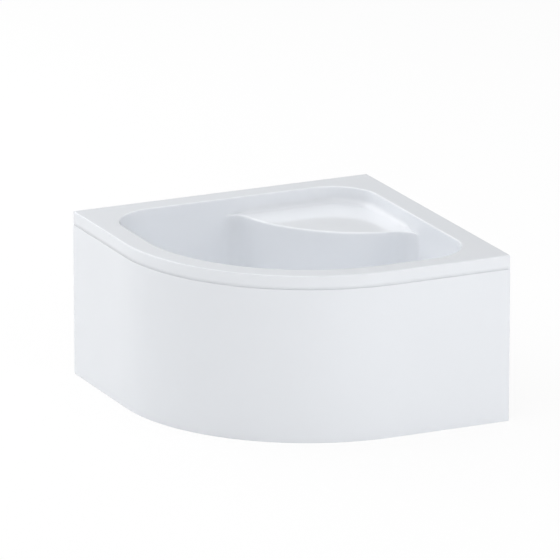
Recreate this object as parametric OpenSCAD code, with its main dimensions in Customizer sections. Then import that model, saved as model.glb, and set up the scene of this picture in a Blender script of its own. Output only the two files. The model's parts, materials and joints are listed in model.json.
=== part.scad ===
// Deep quadrant corner shower tray with a moulded corner seat and a removable curved apron.
// The two wall faces are at +X and +Y, the rounded front faces -X and -Y, and the floor is z = 0.

/* [Tray] */
// Length of each wall side, over the apron face
tray_side = 900; // [860:5:960]
// Radius of the rounded front, on the apron face
front_radius = 550; // [500:5:600]
// Height of the rim above the floor
tray_height = 470; // [450:5:520]
// Thickness of the reinforced acrylic shell
shell_t = 5; // [4:0.5:6]
// Width of the flat rim along the walls
rim_width = 65; // [60:1:75]
// Height of the turned-down rim skirt
skirt_h = 39; // [34:1:50]
// Radius of the rim's outer top edge
rim_edge_r = 3; // [2:1:6]
// Radius where the rim turns down into the basin
basin_edge_r = 6; // [4:1:12]
// Plan radius of the basin's corners
basin_corner_r = 135; // [110:5:150]
// Height of the basin floor above the ground, which leaves room for the trap
basin_floor = 170; // [165:5:190]
// Lean of the basin walls, in degrees
wall_draft = 3; // [1:0.5:4]
// Radius between the basin floor and its walls
floor_fillet_r = 40; // [25:1:42]

/* [Seat] */
// Drop of the seat below the rim
seat_drop = 45; // [44:1:60]
// Plan radius of the seat's front edge
seat_front_r = 400; // [380:5:420]
// Distance of the seat arc's centre from each wall face
seat_centre_gap = 30; // [10:5:50]
// Plan radius where the seat front turns into the basin wall
seat_end_r = 65; // [62:1:75]
// Radius between the seat and the wall behind it
seat_cove_r = 18; // [14:1:32]
// Radius of the seat's front edge
seat_edge_r = 8; // [8:1:16]

/* [Drain] */
// Distance of the drain from the apron face, along the diagonal
drain_gap = 281; // [268:1:300]
// Diameter of the drain hole
drain_hole_d = 52; // [50:1:54]
// Radius of the shallow fall round the drain
fall_r = 100; // [80:5:110]
// Depth of that fall
fall_drop = 3; // [2:0.5:4]
// Radius of the recess that the waste flange sits in
recess_r = 40; // [38:1:46]
// Depth of that recess
recess_depth = 3; // [2:0.5:4]

/* [Apron] */
// Thickness of the apron panel
apron_t = 3; // [2.5:0.5:4]
// How far the apron stands proud of the rim skirt
apron_reveal = 3; // [2:0.5:5]
// Gap between the skirt and the top of the apron
seam_gap = 1; // [0.5:0.5:4]
// Depth of the apron's turned-in edges
apron_return = 15; // [12:1:18]
// Width of the returns at the two wall ends of the apron
apron_end_return = 20; // [15:1:30]
// Thickness of the battens bonded inside the apron
batten_t = 6; // [4:1:7]
// Height of each batten
batten_h = 50; // [40:1:60]

/* [Frame] */
// Width of the square frame tube
rail_w = 25; // [22:1:28]
// Wall of the frame tube
rail_wall = 1.5; // [1.2:0.1:2]
// Half the length of the cross rail
cross_rail_half = 385; // [370:5:395]
// Distance of the cross rail behind the middle of the tray
cross_rail_back = 60; // [50:5:80]
// Distance of each front rail from the diagonal
front_rail_gap = 130; // [120:5:140]
// Front end of the front rails, ahead of the middle of the tray
front_rail_end = 245; // [240:1:252]
// Distance of the rear rail's end from the wall corner
rear_rail_gap = 76; // [70:1:90]
// Distance of the seat post from the wall corner
seat_post_gap = 230; // [220:2:250]
// Width of the square seat post
seat_post_w = 30; // [25:1:40]
// Wall of the seat post
seat_post_wall = 2; // [1.5:0.5:3]
// Side of the plate on top of the seat post
post_plate_w = 110; // [90:5:130]
// Thickness of that plate
post_plate_t = 5; // [4:0.5:6]
// Thickness of the boards bonded under the floor and the seat
board_t = 12; // [9:1:15]

/* [Feet] */
// Diameter of the foot stud
stud_d = 12; // [10:1:12]
// Diameter of the foot pad
pad_d = 52; // [44:2:60]
// Height of the pad and its hexagon
pad_h = 32; // [28:1:36]
// Width across flats of the stud nuts
stud_nut_af = 19; // [18:1:22]
// Thickness of the stud nuts
stud_nut_h = 10; // [8:1:11]
// Distance of the side feet from the cross rail's ends
side_foot_inset = 65; // [62:1:80]
// Distance of the front feet from the front rails' ends
front_foot_inset = 65; // [62:1:80]
// Distance of the rear foot from the rear rail's end
rear_foot_inset = 30; // [26:1:40]

/* [Trap] */
// Diameter of the outlet pipe
outlet_d = 40; // [38:1:42]
// Wall of the trap's tubes
pipe_wall = 3; // [2:0.5:3.5]
// Drop of the outlet's centreline below the basin floor
outlet_drop = 72; // [70:1:76]
// Length of the elbow's outlet leg
outlet_leg = 50; // [42:1:55]
// Centreline radius of the elbow
elbow_r = 30; // [26:1:32]
// Outer radius of the trap bottle
bottle_r = 36; // [34:1:38]
// Outer radius of the plug's cap
plug_r = 30; // [27:1:31]
// Diameter of the plug's stem
plug_stem_d = 7; // [5:0.5:8]

/* [Hidden] */

$fn = 96;
// Overshoot of a cutter past the surface it opens
over = 1;
// Clearance of a stud, bolt or screw in its hole
slip = 0.05;
// Clearance round a part that moves past another without bearing on it
clear = 0.3;

// Angle at which a rounded surface meets the flat beside it
seam_angle = 8;
// Gap left between the two rounds where the seat's end meets its front edge
end_gap = 0.3;

// Plan values
wall_face = tray_side / 2;
rim_front = -wall_face + apron_reveal;
arc_centre = -wall_face + front_radius;
rim_radius = front_radius - apron_reveal;
basin_hi = wall_face - rim_width;
basin_lo = -basin_hi;
basin_radius = front_radius - rim_width;
corner_hi = basin_hi - basin_corner_r;
corner_lo = -corner_hi;
seat_centre = wall_face - seat_centre_gap;
drain_at = round((front_radius - drain_gap) / sqrt(2) - arc_centre);
seat_end_mid = basin_hi - seat_end_r * cos(seam_angle);
seat_end_at = round(seat_centre
    - sqrt(pow(seat_front_r + seat_end_r - end_gap, 2) - pow(seat_centre - seat_end_mid, 2)));

// Levels
skirt_z = tray_height - skirt_h;
seat_z = tray_height - seat_drop;
floor_z = basin_floor;
fall_z = floor_z - fall_drop;
recess_z = fall_z - recess_depth;
board_z = floor_z - shell_t - board_t;
rail_z = board_z - rail_w;
seat_board_z = seat_z - shell_t - board_t;
apron_top = skirt_z - seam_gap;

// Basin wall profile: horizontal run of the leaning wall, and how far in the floor's flat starts
draft_run = (seat_z - floor_z) * tan(wall_draft);
core_in = draft_run + floor_fillet_r + 2 * over;
strip_in = core_in + 2 * over;

// Boards: how far they stay in from the basin wall, the seat front and the drain's fall
board_inset = 50;
board_seat_gap = 55;
board_drain_gap = 7;
seat_board_inset = 20;
seat_board_wall_gap = 15;

// Frame fixings
screw_d = 4.2;
screw_head_d = 9;
screw_head_h = 2.5;
screw_bite = 7;
bolt_d = 6;
bolt_af = 10;
bolt_head_h = 4;
washer_t = 2;
washer_d = 24;
stud_hole_d = stud_d + 1;
cap_t = 3;
cap_plug = 20;
plate_screw_inset = 12;
bolt_inset = 32;
screw_inset = 35;

// Places on the frame along the diagonal: x runs to the rounded front, y to the right end
rear_rail_end = round(wall_face * sqrt(2) - rear_rail_gap);
seat_post_back = round(wall_face * sqrt(2) - seat_post_gap);
foot_left = [-cross_rail_back, -cross_rail_half + side_foot_inset];
foot_right = [-cross_rail_back, cross_rail_half - side_foot_inset];
foot_front_left = [front_rail_end - front_foot_inset, -front_rail_gap];
foot_front_right = [front_rail_end - front_foot_inset, front_rail_gap];
foot_rear = [-rear_rail_end + rear_foot_inset, 0];
FEET = [foot_left, foot_right, foot_front_left, foot_front_right, foot_rear];
side_bolt = cross_rail_half - bolt_inset;
front_bolt = front_rail_end - bolt_inset;
cross_screws = 230;
front_screws = [10, 90];
rear_screw = cross_rail_back + rail_w / 2 + screw_inset;

// Feet
pad_bevel = 1;
pad_edge_h = 6;
pad_crown_h = 11;
pad_hex_af = stud_d + 10;
stud_below_mid = 3;

// Apron brackets: a place on the apron face, and how far in from it the frame bolt is
bracket_w = 28;
bracket_t = 3;
bracket_tab = 20;
bracket_end = 12;
magnet_d = 22;
magnet_gap = 0.5;
strike_t = 2;
strike_w = 40;
strike_h = 30;
magnet_drop = 16;
magnet_z = rail_z - magnet_drop;
side_bracket_y = (cross_rail_back + side_bolt) / sqrt(2);
side_bracket_reach = wall_face - (side_bolt - cross_rail_back) / sqrt(2);
front_bolt_out = front_bolt + arc_centre * sqrt(2);
front_bracket_turn = atan2(front_rail_gap, front_bolt_out);
front_bracket_reach = front_radius - norm([front_bolt_out, front_rail_gap]);
upper_batten_drop = 90;
upper_batten_z = apron_top - upper_batten_drop;
batten_end_gap = 45;
apron_edge_r = apron_t - 0.5;

// Blocks behind the rim skirt that keep the top of the apron from being pushed in
block_l = 40;
block_t = 20;
block_drop = 28;
block_clear = 1;
block_turn = 16;
block_half_angle = 2;

// Waste and trap
seal_t = 1.5;
flange_z = recess_z + seal_t;
flange_t = 3;
flange_r = 35;
flange_bevel = 1.5;
sleeve_r = 24;
sleeve_t = 3;
sleeve_l = 30;
shelf_z = recess_z - sleeve_l;
lip_t = 2;
hub_drop = 6;
hub_top = recess_z - hub_drop;
hub_h = 8;
hub_wall = 4;
guide_t = 2;
plug_lift = 8;
plug_cap_t = 3;
plug_edge = 0.5;
clip_t = 2;
clip_wall = 1.5;
neck_wall = 6;
body_top = recess_z - shell_t - 2 * seal_t;
body_lip_t = 4;
outlet_z = floor_z - outlet_drop;
bottle_drop = 32;
body_bottom = outlet_z - bottle_drop;
cup_overlap = 10;
cup_top = body_bottom + cup_overlap;
cup_depth = 24;
cup_bottom = body_bottom - cup_depth;
cup_floor_t = 3;
dip_tube_rise = 14;
dip_tube_end = cup_bottom + dip_tube_rise;
dip_tube_wall = 2;
grip_w = 3;
grip_out = 1.5;
grip_step = 30;
outlet_r = outlet_d / 2;
stub_end = 52;
collar_t = 3;
collar_r = outlet_r + 2.5;
collar_play = 0.1;
nut_start = 42;
nut_wall = 3.4;
nut_side = 4.2;
elbow_start = stub_end + seal_t;
nut_end = elbow_start + collar_t + collar_play + nut_wall;
bend_start = nut_end + 2;

// Moves from the tray's axes to the diagonal ones
module on_diagonal() rotate([0, 0, 225]) children();

// Draws its children, and again mirrored across the tray's diagonal
module both_sides() {
    children();
    mirror([1, -1, 0]) children();
}

// Sweeps: the profile's x is the distance in from the outline, and its y is the height
module along_line(start, heading, length)
    translate(start) rotate([0, 0, heading + 90]) rotate([90, 0, 0]) linear_extrude(length) children();

module along_arc(centre, radius, from, span)
    translate(centre) rotate_extrude(start = from, angle = span)
        translate([radius, 0]) mirror([1, 0]) children();

// What rounds a square corner at the origin, seen from inside the corner
module corner_cut(radius) {
    difference() {
        translate([-over, -over]) square(radius + over);
        translate([radius, radius]) circle(radius);
    }
}

// The tray's plan: a square with a large front corner, two side corners and a back corner
module plan(lo, hi, front, side, back) {
    difference() {
        translate([lo, lo]) square(hi - lo);
        translate([lo, lo]) corner_cut(front);
        if (side > 0) {
            translate([lo, hi]) mirror([0, 1]) corner_cut(side);
            translate([hi, lo]) mirror([1, 0]) corner_cut(side);
        }
        if (back > 0) translate([hi, hi]) rotate(180) corner_cut(back);
    }
}

// Sweeps its children round the whole basin wall
module along_basin() {
    both_sides() {
        along_line([corner_hi, basin_hi], 180, corner_hi - corner_lo) children();
        along_arc([corner_lo, corner_hi], basin_corner_r, 90, 90) children();
        along_line([basin_lo, corner_hi], 270, corner_hi - arc_centre) children();
    }
    along_arc([arc_centre, arc_centre], basin_radius, 180, 90) children();
    along_arc([corner_hi, corner_hi], basin_corner_r, 0, 90) children();
}

// Material between a round of radius r and the corner at the origin, with the flats g outside it.
// One flat runs along +x, the other along +y with a lean towards -x.
module corner_piece(r, g = 0, lean = 0) {
    reach = r * cos(seam_angle);
    centre = [reach * (1 - sin(lean)) / cos(lean), reach];
    difference() {
        polygon([centre, [centre.x, -g - over], [-g - 3 * over, -g - over],
            centre - (reach + g + 2 * over) * [cos(lean), sin(lean)]]);
        translate(centre) circle(r + g);
    }
}

// Profile of the well below the rim, from the wall line inward, grown by g
module well_profile(g, top) {
    difference() {
        polygon([[-g, top], [-g, seat_z], [draft_run - g, floor_z - g], [strip_in, floor_z - g],
            [strip_in, top]]);
        translate([draft_run, floor_z]) corner_piece(floor_fillet_r, g, wall_draft);
    }
}

// Whole basin without its seat, grown by g
module basin_block(g, top) {
    along_basin() well_profile(g, top);
    translate([0, 0, floor_z - g]) linear_extrude(top - floor_z + g)
        plan(basin_lo + core_in, basin_hi - core_in, basin_radius - core_in,
            basin_corner_r - core_in, basin_corner_r - core_in);
}

// Turned space that rounds the well where the seat front meets the basin wall
module seat_end_space(g) {
    translate([seat_end_at, seat_end_mid]) rotate_extrude() difference() {
        union() {
            polygon([[0, seat_z + over], [seat_end_r + g, seat_z + over], [seat_end_r + g, seat_z - g],
                [seat_end_r + g - draft_run, floor_z - g], [0, floor_z - g]]);
            translate([seat_end_r + g, seat_z - g]) mirror([0, 1])
                corner_piece(seat_edge_r - g, 0, wall_draft);
        }
        translate([seat_end_r - draft_run, floor_z]) mirror([1, 0])
            corner_piece(floor_fillet_r, g, wall_draft);
    }
}

// Solid block under the seat, drawn back by g for the underside of the shell
module seat_block(g) {
    bottom = floor_z - 2 * shell_t;
    front = seat_front_r - g;
    translate([seat_centre, seat_centre]) rotate_extrude() {
        difference() {
            polygon([[0, seat_z - g], [front, seat_z - g], [front + draft_run, floor_z - g],
                [front + draft_run, bottom], [0, bottom]]);
            translate([front, seat_z - g]) rotate(180) corner_piece(seat_edge_r - g, 0, wall_draft);
        }
        translate([seat_front_r + draft_run, floor_z]) corner_piece(floor_fillet_r, g, wall_draft);
    }
    both_sides() difference() {
        translate([0, 0, bottom]) linear_extrude(seat_z - g - bottom)
            polygon([[seat_end_at, seat_end_mid], [seat_end_at, basin_hi + 3 * shell_t],
                [seat_end_at + seat_front_r / 4, basin_hi + 3 * shell_t],
                [seat_end_at + seat_front_r / 4, seat_end_mid + (seat_centre - seat_end_mid) / 4]]);
        seat_end_space(g);
    }
}

// What the basin holds, grown by g for the underside of the shell
module basin_space(g, top) {
    difference() {
        basin_block(g, top);
        seat_block(g);
        seat_coves(g);
    }
    translate([-drain_at, -drain_at, fall_z - g])
        cylinder(h = fall_drop + over, r1 = recess_r + g,
            r2 = recess_r + g + (fall_r - recess_r) * (fall_drop + over) / fall_drop);
    translate([-drain_at, -drain_at, recess_z - g])
        cylinder(h = recess_depth + over, r = recess_r + g);
}

// Coves between the seat and the walls behind it
module seat_coves(g) {
    both_sides() difference() {
        along_line([corner_hi, basin_hi], 180, corner_hi - seat_end_at)
            translate([0, seat_z]) corner_piece(seat_cove_r, g);
        translate([seat_end_at, seat_end_mid, seat_z - g - 2 * over])
            cylinder(h = seat_cove_r + g + 4 * over, r1 = seat_end_r + seat_edge_r,
                r2 = seat_end_r + seat_edge_r + 3 * seat_cove_r);
    }
    along_arc([corner_hi, corner_hi], basin_corner_r, 0, 90)
        translate([0, seat_z]) corner_piece(seat_cove_r, g);
}

// Moulded tray
module tray_shell() {
    color([0.96, 0.97, 0.98]) difference() {
        union() {
            translate([0, 0, skirt_z]) linear_extrude(skirt_h)
                plan(rim_front, wall_face, rim_radius, 0, 0);
            basin_space(shell_t, tray_height - shell_t);
        }
        difference() {
            translate([0, 0, skirt_z - over]) linear_extrude(skirt_h - shell_t + over)
                plan(rim_front + shell_t, wall_face - shell_t, rim_radius - shell_t, 0, 0);
            basin_space(shell_t, tray_height);
        }
        basin_space(0, tray_height + over);
        // Rounded edge into the basin
        translate([0, 0, tray_height]) along_basin() rotate(180) corner_piece(basin_edge_r);
        // Rounded outer edge of the two front sides
        translate([0, 0, tray_height]) along_rim() mirror([0, 1]) corner_piece(rim_edge_r);
        translate([-drain_at, -drain_at, recess_z - shell_t - over])
            cylinder(h = shell_t + 2 * over, d = drain_hole_d);
    }
}

// Sweeps its children along the rim's outer edge on the two front sides
module along_rim() {
    both_sides() along_line([rim_front, wall_face + over], 270, wall_face + over - arc_centre) children();
    along_arc([arc_centre, arc_centre], rim_radius, 180, 90) children();
}

// Curved board bonded under the basin floor
module base_board() {
    color([0.72, 0.58, 0.40]) difference() {
        translate([0, 0, board_z]) linear_extrude(board_t) difference() {
            plan(basin_lo + board_inset, basin_hi - board_inset, basin_radius - board_inset,
                basin_corner_r - board_inset, 0);
            translate([seat_centre, seat_centre]) circle(seat_front_r + board_seat_gap);
            translate([-drain_at, -drain_at]) circle(fall_r + shell_t + board_drain_gap);
        }
        board_screw_places() translate([0, 0, board_z - over])
            cylinder(h = screw_bite + over, d = screw_d + 2 * slip);
    }
}

// Board bonded under the seat
module seat_board() {
    color([0.72, 0.58, 0.40]) difference() {
        translate([0, 0, seat_board_z]) linear_extrude(board_t) intersection() {
            translate([seat_centre, seat_centre]) circle(seat_front_r - seat_board_inset);
            plan(basin_lo, basin_hi - seat_board_wall_gap, basin_radius, 0,
                basin_corner_r - seat_board_wall_gap);
        }
        plate_screw_places() translate([0, 0, seat_board_z - over])
            cylinder(h = screw_bite + over, d = screw_d + 2 * slip);
    }
}

// Square tube along +x from the origin, standing on z = 0
module square_tube(length, w, wall) {
    translate([0, -w / 2, 0]) difference() {
        cube([length, w, w]);
        translate([-over, wall, wall]) cube([length + 2 * over, w - 2 * wall, w - 2 * wall]);
    }
}

// Holes in the rails: studs and bolts enter from below, screws pass right through
module rail_holes() {
    on_diagonal() for (foot = FEET) translate([foot.x, foot.y, rail_z - over])
        cylinder(h = rail_wall + 2 * over, d = stud_hole_d);
    bolt_places() translate([0, 0, rail_z - over])
        cylinder(h = rail_wall + 2 * over, d = bolt_d + 2 * slip);
    board_screw_places() translate([0, 0, rail_z - over])
        cylinder(h = rail_w + 2 * over, d = screw_d + 2 * slip);
}

module bolt_places() {
    on_diagonal() for (side = [-1, 1]) {
        translate([-cross_rail_back, side * side_bolt]) children();
        translate([front_bolt, side * front_rail_gap]) children();
    }
}

module board_screw_places() {
    on_diagonal() {
        for (side = [-1, 1]) {
            translate([-cross_rail_back, side * cross_screws]) children();
            for (ahead = front_screws) translate([ahead, side * front_rail_gap]) children();
        }
        translate([-rear_screw, 0]) children();
    }
}

module plate_screw_places() {
    apart = post_plate_w / 2 - plate_screw_inset;
    on_diagonal() for (x = [-1, 1], y = [-1, 1])
        translate([-seat_post_back + x * apart, y * apart]) children();
}

// Steel rail from end to end under the widest part of the basin
module cross_rail() {
    color([0.66, 0.68, 0.70]) difference() {
        on_diagonal() translate([-cross_rail_back, -cross_rail_half, rail_z]) rotate(90)
            square_tube(2 * cross_rail_half, rail_w, rail_wall);
        rail_holes();
    }
}

// Steel rail from the cross rail towards the rounded front
module front_rail(side) {
    start = -cross_rail_back + rail_w / 2;
    color([0.66, 0.68, 0.70]) difference() {
        on_diagonal() translate([start, side * front_rail_gap, rail_z])
            square_tube(front_rail_end - start, rail_w, rail_wall);
        rail_holes();
    }
}

module front_rail_left() front_rail(-1);
module front_rail_right() front_rail(1);

// Steel rail from the cross rail to the wall corner
module rear_rail() {
    color([0.66, 0.68, 0.70]) difference() {
        on_diagonal() translate([-rear_rail_end, 0, rail_z])
            square_tube(rear_rail_end - cross_rail_back - rail_w / 2, rail_w, rail_wall);
        rail_holes();
    }
}

// Square post from the rear rail up to the seat
module seat_post() {
    bottom = rail_z + rail_w;
    color([0.66, 0.68, 0.70]) on_diagonal() translate([-seat_post_back, 0, bottom])
        linear_extrude(seat_board_z - post_plate_t - bottom) difference() {
            square(seat_post_w, center = true);
            square(seat_post_w - 2 * seat_post_wall, center = true);
        }
}

// Plate on top of the seat post
module seat_post_plate() {
    color([0.66, 0.68, 0.70]) difference() {
        on_diagonal() translate([-seat_post_back, 0, seat_board_z - post_plate_t])
            linear_extrude(post_plate_t) square(post_plate_w, center = true);
        plate_screw_places() translate([0, 0, seat_board_z - post_plate_t - over])
            cylinder(h = post_plate_t + 2 * over, d = screw_d + 2 * slip);
    }
}

// Plastic cap in an open rail end; +x points out of the rail
module rail_cap() {
    plug = rail_w - 2 * rail_wall - 2 * slip;
    translate([0, -rail_w / 2, 0]) cube([cap_t, rail_w, rail_w]);
    translate([-cap_plug, -plug / 2, (rail_w - plug) / 2]) cube([cap_plug + over, plug, plug]);
}

module rail_end_caps() {
    color([0.16, 0.16, 0.17]) on_diagonal() translate([0, 0, rail_z]) {
        for (side = [-1, 1]) {
            translate([-cross_rail_back, side * cross_rail_half]) rotate(side * 90) rail_cap();
            translate([front_rail_end, side * front_rail_gap]) rail_cap();
        }
        translate([-rear_rail_end, 0]) rotate(180) rail_cap();
    }
}

// Countersunk-head screw standing point up, its head below z = 0
module wood_screw(grip) {
    translate([0, 0, -screw_head_h]) cylinder(h = screw_head_h, d = screw_head_d);
    cylinder(h = grip + screw_bite - over, d = screw_d);
}

module board_screws() {
    color([0.75, 0.76, 0.78]) board_screw_places() translate([0, 0, rail_z]) wood_screw(rail_w);
}

module plate_screws() {
    color([0.75, 0.76, 0.78]) plate_screw_places()
        translate([0, 0, seat_board_z - post_plate_t]) wood_screw(post_plate_t);
}

// Hexagon with a bore, standing on z = 0
module hex_nut(af, h, bore) {
    difference() {
        cylinder(h = h, d = af / cos(30), $fn = 6);
        translate([0, 0, -over]) cylinder(h = h + 2 * over, d = bore);
    }
}

module weld_nuts() {
    color([0.70, 0.71, 0.73]) on_diagonal() for (foot = FEET)
        translate([foot.x, foot.y, rail_z - stud_nut_h])
            hex_nut(stud_nut_af, stud_nut_h, stud_d + 2 * slip);
}

module lock_nuts() {
    color([0.70, 0.71, 0.73]) on_diagonal() for (foot = FEET)
        translate([foot.x, foot.y, rail_z - 2 * stud_nut_h - washer_t]) rotate(12)
            hex_nut(stud_nut_af, stud_nut_h, stud_d + 2 * slip);
}

module lock_washers() {
    color([0.78, 0.79, 0.80]) on_diagonal() for (foot = FEET)
        translate([foot.x, foot.y, rail_z - stud_nut_h - washer_t]) difference() {
            cylinder(h = washer_t, d = washer_d);
            translate([0, 0, -over]) cylinder(h = washer_t + 2 * over, d = stud_hole_d);
        }
}

// Blocks bonded inside the rim skirt, with a step behind the apron's top edge
module rim_stop_blocks() {
    top = tray_height - shell_t;
    step = apron_return - apron_reveal + block_clear;
    color([0.24, 0.25, 0.27]) {
        both_sides() along_line([rim_front, side_bracket_y + block_l / 2], 270, block_l)
            stop_block_profile(top, step);
        for (side = [-1, 1])
            along_arc([arc_centre, arc_centre], rim_radius, 225 + side * block_turn - block_half_angle,
                2 * block_half_angle) stop_block_profile(top, step);
    }
}

module stop_block_profile(top, step) {
    polygon([[shell_t, top], [shell_t + block_t, top], [shell_t + block_t, skirt_z - block_drop],
        [step, skirt_z - block_drop], [step, skirt_z], [shell_t, skirt_z]]);
}

// Places a bracket's own frame: origin on the apron face, +x inward
module at_side_bracket() translate([-wall_face, side_bracket_y]) children();
module at_front_bracket(side)
    translate([arc_centre, arc_centre]) rotate(225 + side * front_bracket_turn)
        translate([front_radius, 0]) rotate(180) children();

// Steel angle from a rail to the apron, with a tab for its magnet
module apron_bracket(reach) {
    difference() {
        union() {
            translate([bracket_tab, -bracket_w / 2, rail_z - bracket_t])
                cube([reach + bracket_end - bracket_tab, bracket_w, bracket_t]);
            translate([bracket_tab, -bracket_w / 2, magnet_z - bracket_w / 2])
                cube([bracket_t, bracket_w, rail_z - magnet_z + bracket_w / 2]);
        }
        translate([reach, 0, rail_z - bracket_t - over])
            cylinder(h = bracket_t + 2 * over, d = bolt_d + 2 * slip);
    }
}

module apron_bracket_left() color([0.62, 0.64, 0.66]) at_side_bracket() apron_bracket(side_bracket_reach);
module apron_bracket_right()
    color([0.62, 0.64, 0.66]) mirror([1, -1, 0]) at_side_bracket() apron_bracket(side_bracket_reach);
module apron_bracket_front_left()
    color([0.62, 0.64, 0.66]) at_front_bracket(-1) apron_bracket(front_bracket_reach);
module apron_bracket_front_right()
    color([0.62, 0.64, 0.66]) at_front_bracket(1) apron_bracket(front_bracket_reach);

module bracket_bolts() {
    color([0.75, 0.76, 0.78]) bolt_places() translate([0, 0, rail_z - bracket_t]) {
        translate([0, 0, -bolt_head_h]) cylinder(h = bolt_head_h, d = bolt_af / cos(30), $fn = 6);
        cylinder(h = bracket_t + rail_wall + bolt_head_h + 2, d = bolt_d);
    }
}

module bracket_nuts() {
    color([0.75, 0.76, 0.78]) bolt_places() translate([0, 0, rail_z + rail_wall])
        hex_nut(bolt_af, bolt_head_h + 1, bolt_d + 2 * slip);
}

// Pot magnet on a bracket's tab, its face just short of the strike plate
module pot_magnet() {
    face = apron_t + batten_t + clear + strike_t + magnet_gap;
    translate([face, 0, magnet_z]) rotate([0, 90, 0]) cylinder(h = bracket_tab - face, d = magnet_d);
}

module bracket_magnets() {
    color([0.55, 0.56, 0.58]) {
        both_sides() at_side_bracket() pot_magnet();
        for (side = [-1, 1]) at_front_bracket(side) pot_magnet();
    }
}

// Sweeps its children along the apron face from one wall to the other
module along_apron() {
    both_sides() along_line([-wall_face, wall_face], 270, wall_face - arc_centre) children();
    along_arc([arc_centre, arc_centre], front_radius, 180, 90) children();
}

// Curved panel with turned-in top, bottom and end edges
module apron_panel() {
    color([0.96, 0.97, 0.98]) {
        difference() {
            along_apron() polygon([[0, 0], [0, apron_top], [apron_return, apron_top],
                [apron_return, apron_top - apron_t], [apron_t, apron_top - apron_t],
                [apron_t, apron_t], [apron_return, apron_t], [apron_return, 0]]);
            translate([0, 0, apron_top]) along_apron() mirror([0, 1]) corner_piece(apron_edge_r);
        }
        both_sides() translate([-wall_face + apron_t / 2, wall_face - apron_t, apron_t / 2])
            cube([apron_end_return - apron_t / 2, apron_t, apron_top - apron_t]);
    }
}

// Stiffening strip bonded inside the apron, centred on height z
module apron_batten(z) {
    end = wall_face - batten_end_gap;
    color([0.82, 0.78, 0.66]) {
        both_sides() along_line([-wall_face, end], 270, end - arc_centre)
            translate([apron_t, z - batten_h / 2]) square([batten_t, batten_h]);
        along_arc([arc_centre, arc_centre], front_radius, 180, 90)
            translate([apron_t, z - batten_h / 2]) square([batten_t, batten_h]);
    }
}

module apron_batten_upper() apron_batten(upper_batten_z);
module apron_batten_lower() apron_batten(magnet_z);

// Steel plates that the magnets hold
module apron_strike_plates() {
    half_turn = asin(strike_w / 2 / front_radius);
    color([0.70, 0.71, 0.73]) {
        both_sides()
            along_line([-wall_face, side_bracket_y + strike_w / 2], 270, strike_w) strike_profile();
        for (side = [-1, 1]) along_arc([arc_centre, arc_centre], front_radius,
            225 + side * front_bracket_turn - half_turn, 2 * half_turn) strike_profile();
    }
}

module strike_profile() {
    translate([apron_t + batten_t + clear, magnet_z - strike_h / 2]) square([strike_t, strike_h]);
}

module at_drain() translate([-drain_at, -drain_at, 0]) children();

// Chromed flange with its threaded sleeve and the cross that guides the plug
module waste_flange() {
    inner = sleeve_r - sleeve_t;
    top = flange_z + flange_t;
    color([0.80, 0.81, 0.83]) at_drain() {
        rotate_extrude() polygon([[inner + flange_bevel, top], [flange_r - flange_bevel, top],
            [flange_r, top - flange_bevel], [flange_r, flange_z], [sleeve_r, flange_z],
            [sleeve_r, shelf_z + lip_t], [inner, shelf_z + lip_t], [inner, top - flange_bevel]]);
        difference() {
            union() {
                translate([0, 0, hub_top - hub_h]) cylinder(h = hub_h, r = plug_stem_d / 2 + hub_wall);
                for (turn = [0, 90]) rotate(turn)
                    translate([-inner - sleeve_t / 2, -guide_t / 2, hub_top - hub_h])
                        cube([2 * inner + sleeve_t, guide_t, hub_h - guide_t]);
            }
            translate([0, 0, hub_top - hub_h - over])
                cylinder(h = hub_h + 2 * over, d = plug_stem_d + 2 * slip);
        }
    }
}

// Flat ring between two radii
module ring(inner, outer, z, h) {
    translate([0, 0, z]) difference() {
        cylinder(h = h, r = outer);
        translate([0, 0, -over]) cylinder(h = h + 2 * over, r = inner);
    }
}

module waste_top_seal()
    color([0.12, 0.12, 0.13]) at_drain()
        ring(sleeve_r + clear, flange_r - flange_bevel, recess_z, seal_t);

module waste_bottom_seal()
    color([0.12, 0.12, 0.13]) at_drain() ring(sleeve_r + clear, recess_r - lip_t, body_top, 2 * seal_t);

// Trap body with its threaded neck, bottle and outlet stub
module waste_body() {
    neck = sleeve_r + slip;
    neck_out = neck + neck_wall;
    inner = sleeve_r - sleeve_t;
    wall = pipe_wall;
    shoulder = shelf_z - 2 * wall;
    color([0.93, 0.93, 0.92]) at_drain() difference() {
        union() {
            rotate_extrude() polygon([[neck, body_top], [recess_r, body_top],
                [recess_r, body_top - body_lip_t], [neck_out, body_top - body_lip_t],
                [neck_out, shelf_z], [bottle_r, shoulder], [bottle_r, body_bottom],
                [bottle_r - wall, body_bottom], [bottle_r - wall, shoulder - wall],
                [bottle_r - 2 * wall, shoulder], [inner, shoulder], [inner, shelf_z], [neck, shelf_z]]);
            translate([bottle_r - wall / 2, 0, outlet_z]) rotate([0, 90, 0])
                cylinder(h = stub_end - bottle_r + wall / 2, r = outlet_r);
        }
        translate([bottle_r - 2 * wall, 0, outlet_z]) rotate([0, 90, 0])
            cylinder(h = stub_end - bottle_r + 2 * wall + over, r = outlet_r - wall);
    }
}

// Tube that carries the water down into the bottle
module dip_tube() {
    outer = sleeve_r - sleeve_t - clear;
    inner = outer - dip_tube_wall;
    color([0.90, 0.90, 0.89]) at_drain() rotate_extrude()
        polygon([[inner, dip_tube_end], [outer, dip_tube_end], [outer, shelf_z],
            [sleeve_r - clear, shelf_z], [sleeve_r - clear, shelf_z + lip_t], [inner, shelf_z + lip_t]]);
}

// Cap of the plug
module plug_cap() {
    bottom = flange_z + flange_t + clear + seal_t;
    top = bottom + plug_cap_t;
    color([0.80, 0.81, 0.83]) at_drain() rotate_extrude()
        polygon([[0, bottom], [plug_r - plug_edge, bottom], [plug_r, bottom + plug_edge],
            [plug_r, top - 3 * plug_edge], [plug_r - 3 * plug_edge, top - plug_edge],
            [plug_r - 8 * plug_edge, top], [0, top]]);
}

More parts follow.
